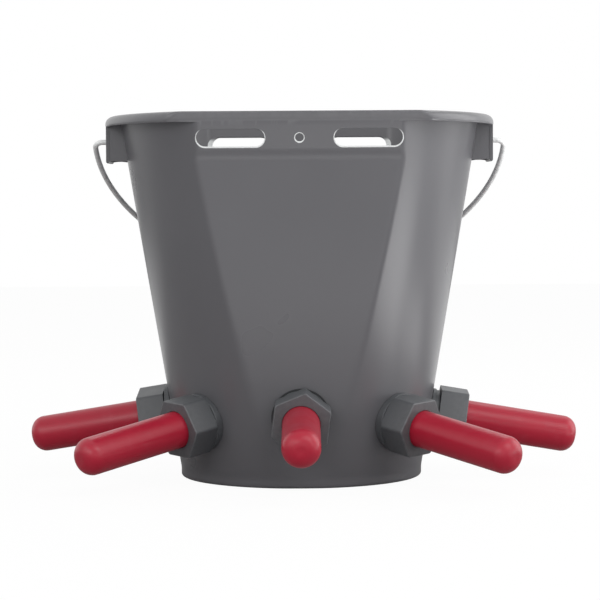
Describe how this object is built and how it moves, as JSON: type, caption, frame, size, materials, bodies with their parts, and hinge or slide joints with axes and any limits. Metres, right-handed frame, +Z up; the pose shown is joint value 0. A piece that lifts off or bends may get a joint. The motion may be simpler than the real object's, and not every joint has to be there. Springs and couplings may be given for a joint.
{
  "type": "multi-teat feeding bucket",
  "caption": "Tapered plastic bucket with flat slotted hanging panels, a swinging wire bail, and rubber teats held by hexagonal collar nuts round its foot for feeding young livestock.",
  "frame": {"origin": "middle of the underside, on the ground", "axes": "+Z up; the panel that carries the front teat faces -Y; +X is to the right seen from there, and the bail swings about X"},
  "size_m": [0.4394, 0.3372, 0.286],
  "materials": {
    "bucket_plastic": "satin moulded",
    "fitting_plastic": "satin moulded",
    "seal_rubber": "dull",
    "teat_rubber": "soft sheen",
    "ball_plastic": "smooth",
    "zinc_wire": "galvanised"
  },
  "bodies": {
    "bucket": {"bucket_shell": "bucket_plastic", "outer_seal_1": "seal_rubber", "inner_seal_1": "seal_rubber", "valve_stem_1": "fitting_plastic", "seat_ring_1": "fitting_plastic", "lock_ring_1": "fitting_plastic", "outer_seal_2": "seal_rubber", "inner_seal_2": "seal_rubber", "valve_stem_2": "fitting_plastic", "seat_ring_2": "fitting_plastic", "lock_ring_2": "fitting_plastic", "outer_seal_3": "seal_rubber", "inner_seal_3": "seal_rubber", "valve_stem_3": "fitting_plastic", "seat_ring_3": "fitting_plastic", "lock_ring_3": "fitting_plastic", "outer_seal_4": "seal_rubber", "inner_seal_4": "seal_rubber", "valve_stem_4": "fitting_plastic", "seat_ring_4": "fitting_plastic", "lock_ring_4": "fitting_plastic", "outer_seal_5": "seal_rubber", "inner_seal_5": "seal_rubber", "valve_stem_5": "fitting_plastic", "seat_ring_5": "fitting_plastic", "lock_ring_5": "fitting_plastic"},
    "bail": {"bail_wire": "zinc_wire"},
    "ball_1": {"valve_ball_1": "ball_plastic"},
    "teat_1": {"teat_1": "teat_rubber"},
    "nut_1": {"collar_nut_1": "fitting_plastic"},
    "ball_2": {"valve_ball_2": "ball_plastic"},
    "teat_2": {"teat_2": "teat_rubber"},
    "nut_2": {"collar_nut_2": "fitting_plastic"},
    "ball_3": {"valve_ball_3": "ball_plastic"},
    "teat_3": {"teat_3": "teat_rubber"},
    "nut_3": {"collar_nut_3": "fitting_plastic"},
    "ball_4": {"valve_ball_4": "ball_plastic"},
    "teat_4": {"teat_4": "teat_rubber"},
    "nut_4": {"collar_nut_4": "fitting_plastic"},
    "ball_5": {"valve_ball_5": "ball_plastic"},
    "teat_5": {"teat_5": "teat_rubber"},
    "nut_5": {"collar_nut_5": "fitting_plastic"}
  },
  "joints": [
    {"name": "bail_swing", "type": "hinge", "parent": "bucket", "child": "bail", "pos_m": [0, 0, 0.2665], "axis": [1, 0, 0], "range_deg": [0, 266.6]},
    {"name": "ball_1_travel", "type": "slide", "parent": "bucket", "child": "ball_1", "axis": [0.9788, -0.1202, 0.1657], "range_m": [0, 0.005]},
    {"name": "teat_1_draw", "type": "slide", "parent": "bucket", "child": "teat_1", "axis": [-0.9788, 0.1202, -0.1657], "range_m": [0, 0.009]},
    {"name": "nut_1_turn", "type": "hinge", "parent": "teat_1", "child": "nut_1", "pos_m": [-0.10227, 0.01256, 0.049], "axis": [-0.9788, 0.1202, -0.1657], "range_deg": [0, 1080]},
    {"name": "ball_2_travel", "type": "slide", "parent": "bucket", "child": "ball_2", "axis": [0.7317, 0.6612, 0.1657], "range_m": [0, 0.005]},
    {"name": "teat_2_draw", "type": "slide", "parent": "bucket", "child": "teat_2", "axis": [-0.7317, -0.6612, -0.1657], "range_m": [0, 0.009]},
    {"name": "nut_2_turn", "type": "hinge", "parent": "teat_2", "child": "nut_2", "pos_m": [-0.07645, -0.06908, 0.049], "axis": [-0.7317, -0.6612, -0.1657], "range_deg": [0, 1080]},
    {"name": "ball_3_travel", "type": "slide", "parent": "bucket", "child": "ball_3", "axis": [0, 0.9947, 0.1028], "range_m": [0, 0.005]},
    {"name": "teat_3_draw", "type": "slide", "parent": "bucket", "child": "teat_3", "axis": [0, -0.9947, -0.1028], "range_m": [0, 0.009]},
    {"name": "nut_3_turn", "type": "hinge", "parent": "teat_3", "child": "nut_3", "pos_m": [0, -0.09902, 0.0545], "axis": [0, -0.9947, -0.1028], "range_deg": [0, 1080]},
    {"name": "ball_4_travel", "type": "slide", "parent": "bucket", "child": "ball_4", "axis": [-0.707, 0.6875, 0.1657], "range_m": [0, 0.005]},
    {"name": "teat_4_draw", "type": "slide", "parent": "bucket", "child": "teat_4", "axis": [0.707, -0.6875, -0.1657], "range_m": [0, 0.009]},
    {"name": "nut_4_turn", "type": "hinge", "parent": "teat_4", "child": "nut_4", "pos_m": [0.07387, -0.07183, 0.049], "axis": [0.707, -0.6875, -0.1657], "range_deg": [0, 1080]},
    {"name": "ball_5_travel", "type": "slide", "parent": "bucket", "child": "ball_5", "axis": [-0.9861, -0.0086, 0.1657], "range_m": [0, 0.005]},
    {"name": "teat_5_draw", "type": "slide", "parent": "bucket", "child": "teat_5", "axis": [0.9861, 0.0086, -0.1657], "range_m": [0, 0.009]},
    {"name": "nut_5_turn", "type": "hinge", "parent": "teat_5", "child": "nut_5", "pos_m": [0.10303, 0.0009, 0.049], "axis": [0.9861, 0.0086, -0.1657], "range_deg": [0, 1080]}
  ],
  "couplings": [
    {"joint": "teat_1_draw", "follows": "nut_1_turn", "m_per_rad": 0.00047746},
    {"joint": "teat_2_draw", "follows": "nut_2_turn", "m_per_rad": 0.00047746},
    {"joint": "teat_3_draw", "follows": "nut_3_turn", "m_per_rad": 0.00047746},
    {"joint": "teat_4_draw", "follows": "nut_4_turn", "m_per_rad": 0.00047746},
    {"joint": "teat_5_draw", "follows": "nut_5_turn", "m_per_rad": 0.00047746}
  ]
}
